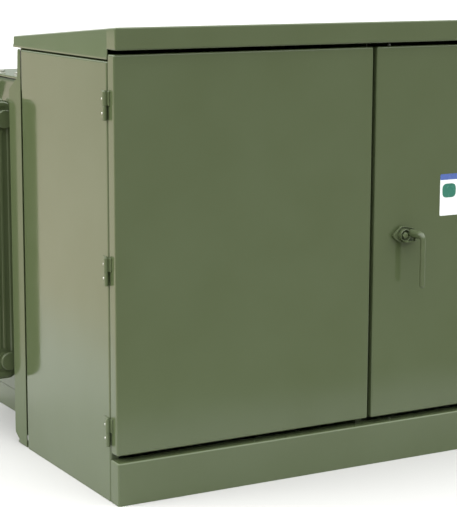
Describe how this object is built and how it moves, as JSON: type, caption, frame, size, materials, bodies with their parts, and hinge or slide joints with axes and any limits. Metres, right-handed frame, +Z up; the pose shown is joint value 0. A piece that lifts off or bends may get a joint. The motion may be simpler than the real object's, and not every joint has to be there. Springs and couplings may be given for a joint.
{
  "type": "pad-mounted transformer",
  "caption": "Oil-filled pad-mounted distribution transformer with a sloped-hood terminal cabinet, hinged doors, turning latch handle, side radiators and internal terminals.",
  "frame": {"origin": "on the ground under the middle of the object's bounding box", "axes": "+Z up; the doors face -Y; +X to the right as a person facing the doors sees it, towards the low-voltage side"},
  "size_m": [1.91, 1.317, 1.2705],
  "materials": {
    "green_enamel": "semi-gloss baked olive green enamel",
    "barrier_enamel": "semi-gloss baked olive green enamel",
    "gasket_rubber": "moulded nitrile and cork, matt",
    "bolt_brass": "dull silicon bronze",
    "plated_steel": "zinc plated steel",
    "bushing_epoxy": "cast epoxy, satin",
    "fuse_plastic": "moulded glass-filled plastic",
    "gauge_face": "white dial under a clear lens",
    "needle_black": "black pointer",
    "valve_brass": "cast brass, machined",
    "plate_steel": "brushed stainless, blank",
    "core_steel": "laminated silicon steel edges",
    "coil_varnish": "varnished paper and wire"
  },
  "bodies": {
    "transformer": {"tank_shell": "green_enamel", "tank_cover": "green_enamel", "handhole_cover": "green_enamel", "radiator_left": "green_enamel", "radiator_right": "green_enamel", "side_panel_left": "green_enamel", "side_panel_right": "green_enamel", "hood": "green_enamel", "front_sill": "green_enamel", "back_panel": "green_enamel", "hv_hinge_lower_fixed": "green_enamel", "hv_hinge_middle_fixed": "green_enamel", "hv_hinge_upper_fixed": "green_enamel", "lv_hinge_lower_fixed": "green_enamel", "lv_hinge_middle_fixed": "green_enamel", "lv_hinge_upper_fixed": "green_enamel", "compartment_barrier": "barrier_enamel", "cover_gasket": "gasket_rubber", "fuse_housing_a": "plated_steel", "fuse_housing_b": "plated_steel", "fuse_housing_c": "plated_steel", "hv_bushing_h1": "bushing_epoxy", "hv_bushing_h2": "bushing_epoxy", "hv_bushing_h3": "bushing_epoxy", "lv_bushing_x0": "bushing_epoxy", "lv_bushing_x1": "bushing_epoxy", "lv_bushing_x2": "bushing_epoxy", "lv_bushing_x3": "bushing_epoxy", "level_gauge": "gauge_face", "dial_thermometer": "gauge_face", "relief_valve": "valve_brass", "drain_valve_body": "valve_brass", "nameplate": "plate_steel", "core": "core_steel", "coil_a": "coil_varnish", "coil_b": "coil_varnish", "coil_c": "coil_varnish"},
    "hv_door": {"hv_door": "green_enamel", "hv_hinge_lower_leaf": "green_enamel", "hv_hinge_middle_leaf": "green_enamel", "hv_hinge_upper_leaf": "green_enamel"},
    "lv_door": {"lv_door": "green_enamel", "lv_hinge_lower_leaf": "green_enamel", "lv_hinge_middle_leaf": "green_enamel", "lv_hinge_upper_leaf": "green_enamel", "handle_escutcheon": "green_enamel"},
    "handle": {"door_handle": "green_enamel", "latch_cam": "plated_steel"},
    "penta_bolt": {"penta_bolt": "bolt_brass"},
    "upper_rod": {"latch_rod_upper": "plated_steel"},
    "lower_rod": {"latch_rod_lower": "plated_steel"},
    "fuse_a": {"fuse_holder_a": "fuse_plastic"},
    "fuse_b": {"fuse_holder_b": "fuse_plastic"},
    "fuse_c": {"fuse_holder_c": "fuse_plastic"},
    "switch": {"switch_handle": "plated_steel"},
    "tap_changer": {"tap_changer_handle": "plated_steel"},
    "level_needle": {"level_gauge_needle": "needle_black"},
    "temperature_needle": {"dial_thermometer_needle": "needle_black"},
    "relief_ring": {"relief_valve_ring": "plated_steel"},
    "drain_wheel": {"drain_valve_wheel": "plated_steel"}
  },
  "joints": [
    {"name": "hv_door_hinge", "type": "hinge", "parent": "transformer", "child": "hv_door", "pos_m": [-0.862, -0.5505, 0.633], "axis": [0, 0, -1], "range_deg": [0, 135]},
    {"name": "lv_door_hinge", "type": "hinge", "parent": "transformer", "child": "lv_door", "pos_m": [0.862, -0.5505, 0.633], "axis": [0, 0, 1], "range_deg": [0, 135]},
    {"name": "handle_turn", "type": "hinge", "parent": "lv_door", "child": "handle", "pos_m": [0.0486, -0.5895, 0.665], "axis": [0, -1, 0], "range_deg": [0, 90]},
    {"name": "upper_rod_slide", "type": "slide", "parent": "lv_door", "child": "upper_rod", "axis": [0, 0, -1], "range_m": [0, 0.0252]},
    {"name": "lower_rod_slide", "type": "slide", "parent": "lv_door", "child": "lower_rod", "axis": [0, 0, 1], "range_m": [0, 0.0252]},
    {"name": "penta_bolt_turn", "type": "hinge", "parent": "handle", "child": "penta_bolt", "pos_m": [0.0486, -0.5895, 0.665], "axis": [0, -1, 0], "continuous": true},
    {"name": "fuse_a_pull", "type": "slide", "parent": "transformer", "child": "fuse_a", "axis": [0, -1, 0], "range_m": [0, 0.3]},
    {"name": "fuse_b_pull", "type": "slide", "parent": "transformer", "child": "fuse_b", "axis": [0, -1, 0], "range_m": [0, 0.3]},
    {"name": "fuse_c_pull", "type": "slide", "parent": "transformer", "child": "fuse_c", "axis": [0, -1, 0], "range_m": [0, 0.3]},
    {"name": "switch_turn", "type": "hinge", "parent": "transformer", "child": "switch", "pos_m": [-0.194, 0.0565, 0.46], "axis": [0, -1, 0], "range_deg": [0, 90]},
    {"name": "tap_changer_turn", "type": "hinge", "parent": "transformer", "child": "tap_changer", "pos_m": [-0.68, 0.0565, 0.46], "axis": [0, -1, 0], "range_deg": [-72, 72]},
    {"name": "level_needle_turn", "type": "hinge", "parent": "transformer", "child": "level_needle", "pos_m": [0.6, 0.0565, 0.96], "axis": [0, -1, 0], "range_deg": [-60, 60]},
    {"name": "temperature_needle_turn", "type": "hinge", "parent": "transformer", "child": "temperature_needle", "pos_m": [0.46, 0.0565, 0.96], "axis": [0, -1, 0], "range_deg": [-120, 120]},
    {"name": "relief_ring_pull", "type": "slide", "parent": "transformer", "child": "relief_ring", "axis": [0, -1, 0], "range_m": [0, 0.01]},
    {"name": "drain_wheel_turn", "type": "hinge", "parent": "transformer", "child": "drain_wheel", "pos_m": [0.64, 0.0565, 0.18], "axis": [0, -1, 0], "continuous": true}
  ],
  "couplings": [
    {"joint": "upper_rod_slide", "follows": "handle_turn", "m_per_rad": 0.015915},
    {"joint": "lower_rod_slide", "follows": "handle_turn", "m_per_rad": 0.015915}
  ]
}
